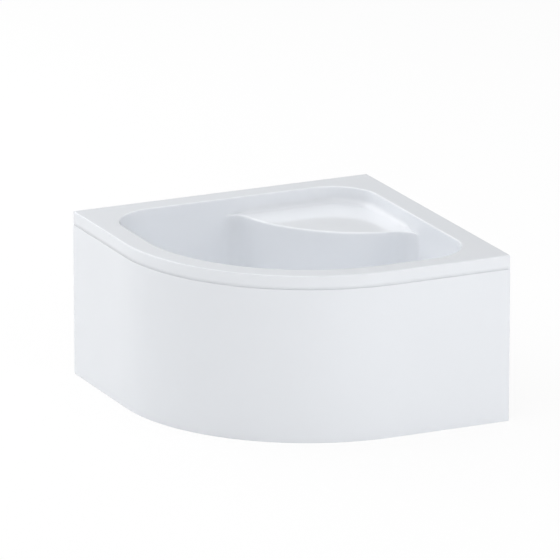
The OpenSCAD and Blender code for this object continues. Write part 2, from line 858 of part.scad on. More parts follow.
// Stem that slides in the flange's hub, with a clip below it
module plug_stem() {
    bottom = hub_top - hub_h - plug_lift - clip_t - over;
    color([0.74, 0.75, 0.77]) at_drain() translate([0, 0, bottom]) {
        cylinder(h = flange_z + flange_t + clear + seal_t - bottom, d = plug_stem_d);
        cylinder(h = clip_t, r = plug_stem_d / 2 + clip_wall);
    }
}

module plug_seal()
    color([0.12, 0.12, 0.13]) at_drain()
        ring(plug_stem_d / 2, sleeve_r + lip_t, flange_z + flange_t + clear, seal_t);

// Cup screwed up over the bottom of the bottle
module trap_cup() {
    inner = bottle_r + clear;
    outer = inner + pipe_wall;
    hollow = bottle_r - pipe_wall;
    ledge = body_bottom - seal_t;
    floor_top = cup_bottom + cup_floor_t;
    color([0.88, 0.88, 0.87]) at_drain() {
        rotate_extrude() polygon([[0, cup_bottom], [outer - cup_floor_t, cup_bottom], [outer, floor_top],
            [outer, cup_top], [inner, cup_top], [inner, ledge], [hollow, ledge],
            [hollow, floor_top + cup_floor_t], [hollow - cup_floor_t, floor_top], [0, floor_top]]);
        for (turn = [0:grip_step:359]) rotate(turn) translate([outer - over, -grip_w / 2, floor_top + over])
            cube([over + grip_out, grip_w, cup_top - floor_top - 3 * grip_w]);
    }
}

module trap_cup_seal()
    color([0.12, 0.12, 0.13]) at_drain()
        ring(bottle_r - pipe_wall + clear, bottle_r - clear, body_bottom - seal_t, seal_t - clear);

// Moves to the outlet's own frame: z runs along the stub, away from the bottle
module at_outlet() at_drain() translate([0, 0, outlet_z]) rotate([0, 90, 0]) children();

module outlet_nut() {
    color([0.86, 0.86, 0.85]) at_outlet() difference() {
        translate([0, 0, nut_start]) cylinder(h = nut_end - nut_start, r = collar_r + nut_side, $fn = 10);
        translate([0, 0, nut_start - over])
            cylinder(h = stub_end - nut_start + over, r = outlet_r + slip);
        translate([0, 0, stub_end - over])
            cylinder(h = nut_end - nut_wall - stub_end + over, r = collar_r + clear);
        translate([0, 0, nut_end - nut_wall - over])
            cylinder(h = nut_wall + 2 * over, r = outlet_r + slip);
    }
}

module outlet_seal()
    color([0.12, 0.12, 0.13]) at_outlet()
        ring(outlet_r - pipe_wall + clear, outlet_r - clear, stub_end, seal_t - clear);

// Elbow solid of radius r, from the stub's seal round to its open end
module elbow_run(r, extra) {
    translate([elbow_start - extra, 0, 0]) rotate([0, 90, 0])
        cylinder(h = bend_start - elbow_start + extra, r = r);
    translate([bend_start, elbow_r, 0]) rotate_extrude(start = 270, angle = 90)
        translate([elbow_r, 0]) circle(r);
    translate([bend_start + elbow_r, elbow_r, 0]) rotate([-90, 0, 0])
        cylinder(h = outlet_leg + extra, r = r);
}

// Elbow that turns in the outlet nut
module outlet_elbow() {
    color([0.93, 0.93, 0.92]) at_drain() translate([0, 0, outlet_z]) difference() {
        union() {
            elbow_run(outlet_r, 0);
            translate([elbow_start, 0, 0]) rotate([0, 90, 0]) cylinder(h = collar_t, r = collar_r);
        }
        elbow_run(outlet_r - pipe_wall, over);
    }
}

// Threaded stud of a foot
module foot_stud(place) {
    top = rail_z + rail_w / 2 - stud_below_mid;
    color([0.74, 0.75, 0.77]) on_diagonal() translate([place.x, place.y, pad_h / 3])
        cylinder(h = top - pad_h / 3, d = stud_d);
}

// Plastic foot pad with a hexagon for a spanner
module foot_pad(place) {
    color([0.14, 0.14, 0.15]) on_diagonal() translate([place.x, place.y, 0]) difference() {
        union() {
            rotate_extrude() polygon([[0, 0], [pad_d / 2 - pad_bevel, 0], [pad_d / 2, pad_bevel],
                [pad_d / 2, pad_edge_h], [pad_d / 2 - 2 * pad_bevel, pad_edge_h + 2 * pad_bevel],
                [pad_d / 4, pad_crown_h], [0, pad_crown_h]]);
            translate([0, 0, pad_crown_h - over])
                cylinder(h = pad_h - pad_crown_h + over, d = pad_hex_af / cos(30), $fn = 6);
        }
        translate([0, 0, pad_h / 3]) cylinder(h = pad_h, d = stud_d + 2 * slip);
    }
}

module foot_left_stud() foot_stud(foot_left);
module foot_left_pad() foot_pad(foot_left);
module foot_right_stud() foot_stud(foot_right);
module foot_right_pad() foot_pad(foot_right);
module foot_front_left_stud() foot_stud(foot_front_left);
module foot_front_left_pad() foot_pad(foot_front_left);
module foot_front_right_stud() foot_stud(foot_front_right);
module foot_front_right_pad() foot_pad(foot_front_right);
module foot_rear_stud() foot_stud(foot_rear);
module foot_rear_pad() foot_pad(foot_rear);

tray_shell();
base_board();
seat_board();
cross_rail();
front_rail_left();
front_rail_right();
rear_rail();
seat_post();
seat_post_plate();
rail_end_caps();
board_screws();
plate_screws();
weld_nuts();
lock_nuts();
lock_washers();
rim_stop_blocks();
apron_bracket_left();
apron_bracket_right();
apron_bracket_front_left();
apron_bracket_front_right();
bracket_bolts();
bracket_nuts();
bracket_magnets();
apron_panel();
apron_batten_upper();
apron_batten_lower();
apron_strike_plates();
waste_flange();
waste_top_seal();
waste_bottom_seal();
waste_body();
dip_tube();
plug_cap();
plug_stem();
plug_seal();
trap_cup();
trap_cup_seal();
outlet_nut();
outlet_seal();
outlet_elbow();
foot_left_stud();
foot_left_pad();
foot_right_stud();
foot_right_pad();
foot_front_left_stud();
foot_front_left_pad();
foot_front_right_stud();
foot_front_right_pad();
foot_rear_stud();
foot_rear_pad();
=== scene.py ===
"""Looks of a deep quadrant corner shower tray: glossy white shell and apron over a steel frame."""
import json
import math

import bmesh
import bpy
import numpy as np
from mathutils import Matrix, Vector


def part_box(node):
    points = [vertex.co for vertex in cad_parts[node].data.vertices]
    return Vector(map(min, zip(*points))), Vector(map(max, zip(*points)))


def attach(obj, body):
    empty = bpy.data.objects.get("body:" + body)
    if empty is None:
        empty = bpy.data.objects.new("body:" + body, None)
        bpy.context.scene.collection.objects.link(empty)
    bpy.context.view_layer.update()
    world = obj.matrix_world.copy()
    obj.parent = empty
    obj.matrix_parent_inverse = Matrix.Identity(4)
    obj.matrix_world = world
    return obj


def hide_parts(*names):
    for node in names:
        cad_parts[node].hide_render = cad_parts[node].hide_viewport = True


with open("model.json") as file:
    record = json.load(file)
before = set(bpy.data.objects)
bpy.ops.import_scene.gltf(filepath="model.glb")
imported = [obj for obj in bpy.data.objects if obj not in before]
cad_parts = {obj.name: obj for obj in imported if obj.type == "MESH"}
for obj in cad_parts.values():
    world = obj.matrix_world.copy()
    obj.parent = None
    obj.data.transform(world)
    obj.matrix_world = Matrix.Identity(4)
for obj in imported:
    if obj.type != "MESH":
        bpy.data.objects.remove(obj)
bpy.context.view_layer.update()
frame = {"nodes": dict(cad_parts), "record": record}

# Sizes of the tray, in metres. The basin's and the seat's edges, the fillet at the seat's ends and the seam
# above the apron are finer than in the solids.
WALL_FACE = 0.450
FRONT_R = 0.550
REVEAL = 0.001  # how far the skirt stands behind the apron's face
RIM_Z = 0.470
SKIRT_Z = 0.431
SHELL_T = 0.005
RIM_W = 0.065
RIM_EDGE_R = 0.003
BASIN_EDGE_R = 0.004
CORNER_R = 0.135
SEAT_Z = 0.425
SEAT_R = 0.400
SEAT_C = 0.420  # x and y of the middle of the seat's front arc
SEAT_EDGE_R = 0.006
SEAT_COVE_R = 0.018
SEAT_END_R = 0.050
FLOOR_Z = 0.170
FLOOR_FILLET_R = 0.040
DRAFT_ANGLE = math.radians(3)
DRAIN = (-0.090, -0.090)
HOLE_R = 0.026
RECESS_R = 0.040
RECESS_DEPTH = 0.003
RECESS_EDGE = 0.0015
FALL_R = 0.100
FALL_DROP = 0.003
ARC_C = FRONT_R - WALL_FACE  # x and y of the middle of the tray's front arc
RIM_LO = -WALL_FACE + REVEAL
RIM_R = FRONT_R - REVEAL
BASIN_HI = WALL_FACE - RIM_W
BASIN_R = FRONT_R - RIM_W
APRON_TOP = 0.4309
APRON_T = 0.003
APRON_LIP = 0.015
APRON_END_RETURN = 0.020
APRON_END_EDGE = 0.0006

# Distances below which two points count as one, and angles above which an edge stays sharp
WELD = 2e-5
ON_PLANE = 1e-5
SHARP_SHELL = math.radians(40)
SHARP_APRON = math.radians(50)


def round_max(u, v, r):
    """Larger of two distances, rounded where both meet: a convex edge of radius r."""
    return np.hypot(np.maximum(u + r, 0), np.maximum(v + r, 0)) - r + np.minimum(np.maximum(u, v) + r, 0)


def round_min(u, v, r):
    """Smaller of two distances, rounded where both meet: a concave fillet of radius r."""
    return -round_max(-u, -v, r)


def smooth_step(value, low, high):
    """0 below the low end, 1 above the high end and a soft rise between."""
    t = np.clip((value - low) / (high - low), 0, 1)
    return t * t * (3 - 2 * t)


def inside_basin(x, y):
    """Distance in from the basin's outline: a square with a large front corner and three smaller ones."""
    lo, hi = -BASIN_HI, BASIN_HI
    d = np.minimum(np.minimum(x - lo, y - lo), np.minimum(hi - x, hi - y))
    front = (x < ARC_C) & (y < ARC_C)
    d_front = np.minimum(BASIN_R - np.hypot(x - ARC_C, y - ARC_C), np.minimum(hi - x, hi - y))
    d = np.where(front, d_front, d)
    near = BASIN_HI - CORNER_R
    for sx, sy in ((-1, 1), (1, -1), (1, 1)):
        corner = (sx * x > near) & (sy * y > near)
        d = np.where(corner, CORNER_R - np.hypot(x - sx * near, y - sy * near), d)
    return d


def lean(z):
    """How far a wall has moved inward at height z: none near the rim, then the draft."""
    h = SEAT_Z - z
    soft = 0.02
    return math.tan(DRAFT_ANGLE) * 0.5 * (h + np.sqrt(h * h + soft * soft))


def floor_height(x, y):
    """Height of the well's floor: level, with a fall to the drain and a recess round its hole."""
    r = np.hypot(x - DRAIN[0], y - DRAIN[1])
    fall = FALL_DROP * (1 - smooth_step(r, RECESS_R, FALL_R))
    recess = RECESS_DEPTH * (1 - smooth_step(r, RECESS_R - RECESS_EDGE, RECESS_R + RECESS_EDGE))
    return FLOOR_Z - fall - recess


def air(x, y, z):
    """Distance from the tray's moulded face, positive in the air."""
    slope = math.cos(DRAFT_ANGLE)
    wall = round_max((inside_basin(x, y) - lean(z)) * slope, z - RIM_Z, BASIN_EDGE_R)
    from_seat = np.hypot(x - SEAT_C, y - SEAT_C) - SEAT_R
    front = round_min(wall, (from_seat - lean(z)) * slope, SEAT_END_R)
    seat = round_max(front, z - SEAT_Z, SEAT_EDGE_R)
    cove = SEAT_COVE_R * smooth_step(-from_seat, 0, SEAT_COVE_R * 2)
    return round_min(round_min(wall, seat, cove), z - floor_height(x, y), FLOOR_FILLET_R)


def face_height(x, y):
    """Height of the moulded face above a point of the plan."""
    below_floor, above_rim, halvings = 0.02, 0.01, 34
    low = np.full_like(x, FLOOR_Z - below_floor)
    high = np.full_like(x, RIM_Z + above_rim)
    for _ in range(halvings):
        middle = 0.5 * (low + high)
        in_air = air(x, y, middle) > 0
        high = np.where(in_air, middle, high)
        low = np.where(in_air, low, middle)
    return 0.5 * (low + high)


def rim_outline(spacing, past):
    """Points round the rim's outer edge, which runs past the wall planes, with their inward normals."""
    end = WALL_FACE + past
    points = []

    def line(start, stop, normal):
        n = max(2, round((Vector(stop) - Vector(start)).length / spacing))
        for i in range(n):
            points.append((tuple(Vector(start).lerp(Vector(stop), i / n)), normal))

    line((RIM_LO, end), (RIM_LO, ARC_C), (1, 0))
    steps = round(math.pi / 2 * RIM_R / spacing)
    for i in range(steps):
        a = math.pi + math.pi / 2 * i / steps
        c, s = math.cos(a), math.sin(a)
        points.append(((ARC_C + RIM_R * c, ARC_C + RIM_R * s), (-c, -s)))
    line((ARC_C, RIM_LO), (end, RIM_LO), (0, 1))
    clear_of_edge = RIM_LO + RIM_EDGE_R + spacing / 2
    line((end, clear_of_edge), (end, end), (0, 0))
    line((end, end), (clear_of_edge, end), (0, 0))
    return points


def even_rows(x, z, rows):
    """Where to put a number of rows along one profile, as indices into it: closer together where it bends."""
    metres_per_radian = 0.030
    dx, dz = np.diff(x), np.diff(z)
    length = np.hypot(dx, dz)
    turn = np.abs(np.diff(np.unwrap(np.arctan2(dz, dx))))
    bend = np.zeros_like(length)
    bend[1:] += 0.5 * turn
    bend[:-1] += 0.5 * turn
    cost = np.concatenate([[0], np.cumsum(length + metres_per_radian * bend)])
    return np.interp(np.linspace(0, cost[-1], rows), cost, np.arange(len(x)))


def new_mesh(name, verts, faces, smooth=True):
    """A mesh object in the scene, smooth-shaded unless told otherwise."""
    mesh = bpy.data.meshes.new(name)
    mesh.from_pydata(verts, [], faces)
    mesh.update()
    if smooth:
        mesh.polygons.foreach_set("use_smooth", [True] * len(mesh.polygons))
    obj = bpy.data.objects.new(name, mesh)
    bpy.context.scene.collection.objects.link(obj)
    return obj


def dress(obj, *materials):
    """Gives a mesh its materials, in the order of its faces' indices."""
    obj.data.materials.clear()
    for mat in materials:
        obj.data.materials.append(mat)


def skirt_rows():
    """Heights of the skirt's rows of points, from its lower edge up."""
    return [SKIRT_Z + (RIM_Z - RIM_EDGE_R - SKIRT_Z) * k / 3 for k in range(3)]


def skirt_and_edge(outline, edge_steps):
    """Points up the skirt and over the rim's rounded edge, one column for each point of the outline."""
    columns = []
    for (px, py), (nx, ny) in outline:
        column = [(px, py, z) for z in skirt_rows()]
        for k in range(edge_steps + 1):
            a = math.pi / 2 * k / edge_steps
            d = RIM_EDGE_R * (1 - math.cos(a))
            column.append((px + nx * d, py + ny * d, RIM_Z - RIM_EDGE_R * (1 - math.sin(a))))
        columns.append(column)
    return columns


def build_shell():
    """The tray's moulded skin: up the skirt, over the rim, then along rays in to the drain hole."""
    spacing, past_walls, edge_steps = 0.0065, 0.012, 7
    rows, samples, smoothings = 118, 1400, 8
    hole_lip = SHELL_T * 0.6
    columns = skirt_and_edge(rim_outline(spacing, past_walls), edge_steps)
    starts = np.array([c[-1][:2] for c in columns])
    reach = np.hypot(starts[:, 0] - DRAIN[0], starts[:, 1] - DRAIN[1])
    turn = np.arctan2(starts[:, 1] - DRAIN[1], starts[:, 0] - DRAIN[0])
    share = np.linspace(0, 1, samples)
    radius = reach[:, None] + (HOLE_R - reach[:, None]) * share[None, :]
    x = DRAIN[0] + radius * np.cos(turn)[:, None]
    y = DRAIN[1] + radius * np.sin(turn)[:, None]
    z = face_height(x.ravel(), y.ravel()).reshape(x.shape)
    rings = np.array([np.interp(even_rows(radius[i], z[i], rows), np.arange(samples), radius[i])
                      for i in range(len(columns))])
    for _ in range(smoothings):
        rings[:, 1:] = (np.roll(rings, 1, 0) + 2 * rings + np.roll(rings, -1, 0))[:, 1:] / 4
    for i, column in enumerate(columns):
        r = rings[i]
        px, py = DRAIN[0] + r * math.cos(turn[i]), DRAIN[1] + r * math.sin(turn[i])
        pz = face_height(px, py)
        column += [(a, b, c) for a, b, c in zip(px[1:], py[1:], pz[1:])]
        column.append((px[-1], py[-1], pz[-1] - hole_lip))
    count = len(columns[0])
    verts = [p for column in columns for p in column]
    faces = []
    for i in range(len(columns)):
        j = (i + 1) % len(columns)
        for k in range(count - 1):
            faces.append((i * count + k, j * count + k, j * count + k + 1, i * count + k + 1))
    shell = new_mesh("tray_moulding", verts, faces)
    trim_at_walls(shell)
    thick = shell.modifiers.new("thickness", "SOLIDIFY")
    thick.thickness = SHELL_T
    thick.offset = -1
    thick.material_offset = 1
    thick.material_offset_rim = 0
    return shell


def ends_on_wall(edge):
    """True for a free edge of the rim that lies in a wall plane and isn't the skirt's upright end."""
    first, second = (v.co for v in edge.verts)
    in_plane = any(all(abs(v.co[axis] - WALL_FACE) < ON_PLANE for v in edge.verts) for axis in (0, 1))
    above_skirt = max(first.z, second.z) > SKIRT_Z + ON_PLANE
    upright = abs(first.x - second.x) + abs(first.y - second.y) < ON_PLANE
    return edge.is_boundary and in_plane and above_skirt and not upright


def trim_at_walls(obj):
    """Cuts the skin off at the two wall planes and turns its edge down there."""
    bm = bmesh.new()
    bm.from_mesh(obj.data)
    for normal in ((1, 0, 0), (0, 1, 0)):
        geom = bm.verts[:] + bm.edges[:] + bm.faces[:]
        bmesh.ops.bisect_plane(bm, geom=geom, plane_co=Vector(normal) * WALL_FACE, plane_no=normal,
                               clear_outer=True, dist=1e-6)
    bmesh.ops.remove_doubles(bm, verts=bm.verts[:], dist=WELD)
    bmesh.ops.dissolve_degenerate(bm, edges=bm.edges[:], dist=WELD)
    rim = [e for e in bm.edges if ends_on_wall(e)]
    for z in skirt_rows()[::-1]:
        made = bmesh.ops.extrude_edge_only(bm, edges=rim)["geom"]
        verts = {v for v in made if isinstance(v, bmesh.types.BMVert)}
        for v in verts:
            v.co.z = z
        rim = [e for e in made if isinstance(e, bmesh.types.BMEdge) and all(v in verts for v in e.verts)]
    bmesh.ops.remove_doubles(bm, verts=bm.verts[:], dist=WELD)
    bmesh.ops.recalc_face_normals(bm, faces=bm.faces[:])
    bm.faces.ensure_lookup_table()
    top = max(bm.faces, key=lambda f: f.calc_center_median().z)
    if top.normal.z < 0:
        bmesh.ops.reverse_faces(bm, faces=bm.faces[:])
    for edge in bm.edges:
        if len(edge.link_faces) == 2 and edge.calc_face_angle() > SHARP_SHELL:
            edge.smooth = False
    bm.to_mesh(obj.data)
    bm.free()


def sweep(name, path, profile):
    """Solid of a closed profile (distance in, height) carried along a path of points and inward normals."""
    verts, faces = [], []
    n = len(profile)
    for (px, py), (nx, ny) in path:
        verts += [(px + nx * d, py + ny * d, z) for d, z in profile]
    for i in range(len(path) - 1):
        for k in range(n):
            m = (k + 1) % n
            faces.append((i * n + k, i * n + m, (i + 1) * n + m, (i + 1) * n + k))
    faces.append(tuple(range(n))[::-1])
    faces.append(tuple(range((len(path) - 1) * n, len(path) * n)))
    return new_mesh(name, verts, faces)


def arc_points(cx, cz, r, start, stop, steps):
    """Points of an arc from one angle to another, in degrees."""
    return [(cx + r * math.cos(math.radians(start + (stop - start) * k / steps)),
             cz + r * math.sin(math.radians(start + (stop - start) * k / steps))) for k in range(steps + 1)]


def apron_path():
    """Points along the panel's face with their inward normals: straight, quarter circle, straight."""
    spacing = 0.009
    path = []
    straight = WALL_FACE - ARC_C
    n = round(straight / spacing / 2)
    path += [((-WALL_FACE, WALL_FACE - straight * k / n), (1, 0)) for k in range(n)]
    steps = round(math.pi / 2 * FRONT_R / spacing)
    for k in range(steps + 1):
        a = math.pi + math.pi / 2 * k / steps
        c, s = math.cos(a), math.sin(a)
        path.append(((ARC_C + FRONT_R * c, ARC_C + FRONT_R * s), (-c, -s)))
    path += [((ARC_C + straight * k / n, -WALL_FACE), (0, 1)) for k in range(1, n + 1)]
    return path


def apron_profile():
    """Closed outline of the panel's section: face, rounded top bend, turned-in lips and inner face."""
    top, t, lip = APRON_TOP, APRON_T, APRON_LIP
    bend, inner, tip, first = 0.0009, 0.0012, 0.0006, 0.02
    points = [(0, first)]
    points += [(0, top * k / 8) for k in range(1, 8)]
    points += arc_points(bend, top - bend, bend, 180, 90, 6)
    points += arc_points(lip - tip, top - tip, tip, 90, 0, 2)
    points += arc_points(lip - tip, top - t + tip, tip, 0, -90, 2)
    points += arc_points(t + inner, top - t - inner, inner, 90, 180, 3)
    points += arc_points(t + inner, t + inner, inner, 180, 270, 3)
    points += arc_points(lip - tip, t - tip, tip, 90, 0, 2)
    points += arc_points(lip - tip, tip, tip, 0, -90, 2)
    points += arc_points(bend, bend, bend, 270, 180, 6)
    return points


def build_apron():
    """The panel with a return at each wall end; its face is white and its back is laminate."""
    outer_layer = APRON_T * 0.9
    panel = sweep("apron_skin", apron_path(), apron_profile())
    bm = bmesh.new()
    bm.from_mesh(panel.data)
    for mirrored in (False, True):
        lo = Vector((-WALL_FACE + APRON_T * 0.5, WALL_FACE - APRON_T, APRON_T * 0.5))
        hi = Vector((-WALL_FACE + APRON_END_RETURN, WALL_FACE, APRON_TOP - APRON_T * 0.5))
        made = bmesh.ops.create_cube(bm, size=1)["verts"]
        for v in made:
            p = Vector((lo[i] if v.co[i] < 0 else hi[i] for i in range(3)))
            v.co = (p.y, p.x, p.z) if mirrored else p
        if mirrored:
            bmesh.ops.reverse_faces(bm, faces=list({f for v in made for f in v.link_faces}))
        edges = list({e for v in made for e in v.link_edges})
        bmesh.ops.bevel(bm, geom=edges, offset=APRON_END_EDGE, segments=2, affect="EDGES", profile=0.5)
    bmesh.ops.recalc_face_normals(bm, faces=bm.faces[:])
    for face in bm.faces:
        face.smooth = True
        c = face.calc_center_median()
        depth = min(c.x + WALL_FACE, c.y + WALL_FACE)
        if c.x < ARC_C and c.y < ARC_C:
            depth = FRONT_R - math.hypot(c.x - ARC_C, c.y - ARC_C)
        face.material_index = 0 if depth < outer_layer else 1
    for edge in bm.edges:
        if len(edge.link_faces) == 2 and edge.calc_face_angle() > SHARP_APRON:
            edge.smooth = False
    bm.to_mesh(panel.data)
    bm.free()
    return panel


# Materials

ACRYLIC = [0.818, 0.84, 0.874]
FLOOR_COLOUR = [0.92, 0.92, 0.92]
FLOOR_WHITE = 0.9  # share of plain white in the floor where it is seen; the rest is the lit floor


def shader(name, colour, roughness, metallic=0.0, **sockets):
    """A Principled material and its node tree; plain values go straight on the shader's sockets."""
    mat = bpy.data.materials.new(name)
    mat.use_nodes = True
    tree = mat.node_tree
    bsdf = tree.nodes["Principled BSDF"]
    bsdf.inputs["Base Color"].default_value = (*colour, 1)
    bsdf.inputs["Roughness"].default_value = roughness
    bsdf.inputs["Metallic"].default_value = metallic
    for key, value in sockets.items():
        bsdf.inputs[key.replace("_", " ")].default_value = value
    return mat, tree, bsdf


def coordinates(tree, scale=(1, 1, 1)):
    """Object coordinates, stretched by a scale along each axis."""
    place = tree.nodes.new("ShaderNodeTexCoord")
    mapping = tree.nodes.new("ShaderNodeMapping")
    mapping.inputs["Scale"].default_value = scale
    tree.links.new(place.outputs["Object"], mapping.inputs["Vector"])
    return mapping.outputs["Vector"]


def noise(tree, vector, scale, detail):
    """Soft noise from 0 to 1."""
    node = tree.nodes.new("ShaderNodeTexNoise")
    node.inputs["Scale"].default_value = scale
    node.inputs["Detail"].default_value = detail
    tree.links.new(vector, node.inputs["Vector"])
    return node.outputs["Fac"]


def cells(tree, vector, scale, output="Distance"):
    """Voronoi cells: the distance from their middles or a colour for each."""
    node = tree.nodes.new("ShaderNodeTexVoronoi")
    node.inputs["Scale"].default_value = scale
    tree.links.new(vector, node.inputs["Vector"])
    return node.outputs[output]


def grey_cells(tree, vector, scale):
    """Voronoi cells, each with its own shade of grey."""
    grey = tree.nodes.new("ShaderNodeRGBToBW")
    tree.links.new(cells(tree, vector, scale, "Color"), grey.inputs["Color"])
    return grey.outputs["Val"]


def ramp(tree, factor, stops):
    """A factor turned into colours: pairs of position and colour."""
    node = tree.nodes.new("ShaderNodeValToRGB")
    while len(node.color_ramp.elements) < len(stops):
        node.color_ramp.elements.new(0.5)
    for element, (at, colour) in zip(node.color_ramp.elements, stops):
        element.position = at
        element.color = (*colour, 1)
    tree.links.new(factor, node.inputs["Fac"])
    return node.outputs["Color"]


def bump(tree, bsdf, height, strength, distance, edge_radius=0.0):
    """Fine relief on a shader, and edges that look rounded where a radius is given."""
    node = tree.nodes.new("ShaderNodeBump")
    node.inputs["Strength"].default_value = strength
    node.inputs["Distance"].default_value = distance
    tree.links.new(height, node.inputs["Height"])
    if edge_radius:
        soft = tree.nodes.new("ShaderNodeBevel")
        soft.samples = 4
        soft.inputs["Radius"].default_value = edge_radius
        tree.links.new(soft.outputs["Normal"], node.inputs["Normal"])
    tree.links.new(node.outputs["Normal"], bsdf.inputs["Normal"])


def spread(tree, factor, low, high):
    """A factor from 0 to 1 turned into a number from low to high."""
    node = tree.nodes.new("ShaderNodeMapRange")
    node.inputs["To Min"].default_value = low
    node.inputs["To Max"].default_value = high
    tree.links.new(factor, node.inputs["Value"])
    return node.outputs["Result"]


def acrylic():
    """Glossy white acrylic: barely uneven, as vacuum-formed sheet is."""
    mat, tree, bsdf = shader("white_acrylic", ACRYLIC, 0.1)
    place = coordinates(tree)
    cloud = noise(tree, place, 5.0, 2.0)
    tint = ramp(tree, cloud, [(0.3, [c * 0.992 for c in ACRYLIC]), (0.7, ACRYLIC)])
    tree.links.new(tint, bsdf.inputs["Base Color"])
    tree.links.new(spread(tree, noise(tree, place, 22.0, 4.0), 0.08, 0.13), bsdf.inputs["Roughness"])
    bump(tree, bsdf, noise(tree, place, 260.0, 1.0), 0.04, 0.0002)
    return mat


def laminate():
    """Sprayed glass-fibre backing: chopped strands under resin."""
    mat, tree, bsdf = shader("glass_fibre", (0.62, 0.60, 0.50), 0.45)
    strands = cells(tree, coordinates(tree, (1, 1, 0.35)), 190.0)
    crossed = cells(tree, coordinates(tree, (0.4, 1, 1)), 160.0)
    mix = tree.nodes.new("ShaderNodeMath")
    mix.operation = "MULTIPLY"
    tree.links.new(strands, mix.inputs[0])
    tree.links.new(crossed, mix.inputs[1])
    tone = ramp(tree, mix.outputs[0], [(0.0, (0.74, 0.73, 0.64)), (0.35, (0.60, 0.58, 0.47)),
                                       (0.9, (0.70, 0.69, 0.60))])
    tree.links.new(tone, bsdf.inputs["Base Color"])
    bump(tree, bsdf, mix.outputs[0], 0.5, 0.0012)
    return mat


def chipboard():
    """Pressed wood chips, raw at the faces and edges."""
    mat, tree, bsdf = shader("chipboard", (0.55, 0.40, 0.24), 0.75)
    place = coordinates(tree)
    flakes = grey_cells(tree, coordinates(tree, (1, 1.6, 2.4)), 150.0)
    tone = ramp(tree, flakes, [(0.1, (0.36, 0.24, 0.13)), (0.5, (0.56, 0.41, 0.25)),
                               (0.9, (0.70, 0.55, 0.36))])
    tree.links.new(tone, bsdf.inputs["Base Color"])
    bump(tree, bsdf, noise(tree, place, 420.0, 4.0), 0.5, 0.0006, 0.0008)
    return mat


def galvanised():
    """Galvanised steel with its grey spangle."""
    mat, tree, bsdf = shader("galvanised_steel", (0.56, 0.58, 0.60), 0.4, 0.85)
    place = coordinates(tree)
    spangle = grey_cells(tree, place, 75.0)
    tone = ramp(tree, spangle, [(0.15, (0.44, 0.46, 0.48)), (0.5, (0.55, 0.57, 0.59)),
                                (0.85, (0.66, 0.67, 0.69))])
    tree.links.new(tone, bsdf.inputs["Base Color"])
    tree.links.new(spread(tree, spangle, 0.30, 0.52), bsdf.inputs["Roughness"])
    bump(tree, bsdf, noise(tree, place, 140.0, 3.0), 0.15, 0.0004, 0.0012)
    return mat


def zinc():
    """Bright zinc plate of studs, screws and brackets."""
    mat, tree, bsdf = shader("zinc_plate", (0.62, 0.63, 0.64), 0.3, 1.0)
    place = coordinates(tree)
    tone = ramp(tree, noise(tree, place, 90.0, 4.0), [(0.3, (0.52, 0.53, 0.55)), (0.7, (0.70, 0.71, 0.70))])
    tree.links.new(tone, bsdf.inputs["Base Color"])
    bump(tree, bsdf, noise(tree, place, 700.0, 2.0), 0.12, 0.0002, 0.0003)
    return mat


def chrome():
    """Chromed brass of the drain flange and the plug."""
    mat, tree, bsdf = shader("chrome", (0.78, 0.79, 0.80), 0.06, 1.0)
    place = coordinates(tree)
    tree.links.new(spread(tree, noise(tree, place, 60.0, 3.0), 0.04, 0.10), bsdf.inputs["Roughness"])
    bump(tree, bsdf, noise(tree, place, 30.0, 2.0), 0.03, 0.0002, 0.0003)
    return mat


def rubber():
    """Black rubber of the seals."""
    mat, tree, bsdf = shader("black_rubber", (0.025, 0.025, 0.027), 0.7)
    place = coordinates(tree)
    tone = ramp(tree, noise(tree, place, 120.0, 3.0), [(0.3, (0.018, 0.018, 0.020)),
                                                       (0.7, (0.040, 0.040, 0.042))])
    tree.links.new(tone, bsdf.inputs["Base Color"])
    bump(tree, bsdf, noise(tree, place, 900.0, 2.0), 0.3, 0.0002)
    return mat


def fine_grained(name, colour, roughness, grain, metallic=0.0):
    """Moulded plastic or dull plating with a fine grain and soft edges."""
    mat, tree, bsdf = shader(name, colour, roughness, metallic)
    place = coordinates(tree)
    tone = ramp(tree, noise(tree, place, 40.0, 3.0), [(0.3, [c * 0.93 for c in colour]), (0.7, colour)])
    tree.links.new(tone, bsdf.inputs["Base Color"])
    tree.links.new(spread(tree, noise(tree, place, 300.0, 2.0), roughness * 0.85, roughness * 1.15),
                   bsdf.inputs["Roughness"])
    bump(tree, bsdf, noise(tree, place, grain, 2.0), 0.25, 0.0003, 0.0005)
    return mat


def seen_directly(tree):
    """1 for rays that show the background: from the camera, in reflections and through glass."""
    path = tree.nodes.new("ShaderNodeLightPath")
    total = path.outputs["Is Camera Ray"]
    for name in ("Is Glossy Ray", "Is Transmission Ray"):
        add = tree.nodes.new("ShaderNodeMath")
        add.operation = "MAXIMUM"
        tree.links.new(total, add.inputs[0])
        tree.links.new(path.outputs[name], add.inputs[1])
        total = add.outputs[0]
    return total


def floor_material():
    """Pale floor: near white where it is seen, with the tray's soft shadow left in it."""
    mat, tree, bsdf = shader("floor", FLOOR_COLOUR, 0.9, Specular_IOR_Level=0.0)
    glow = tree.nodes.new("ShaderNodeEmission")
    glow.inputs["Strength"].default_value = 1.0
    share = tree.nodes.new("ShaderNodeMath")
    share.operation = "MULTIPLY"
    share.inputs[1].default_value = FLOOR_WHITE
    mix = tree.nodes.new("ShaderNodeMixShader")
    tree.links.new(seen_directly(tree), share.inputs[0])
    tree.links.new(share.outputs[0], mix.inputs["Fac"])
    tree.links.new(bsdf.outputs[0], mix.inputs[1])
    tree.links.new(glow.outputs[0], mix.inputs[2])
    tree.links.new(mix.outputs[0], tree.nodes["Material Output"].inputs["Surface"])
    return mat


# Threads of the feet

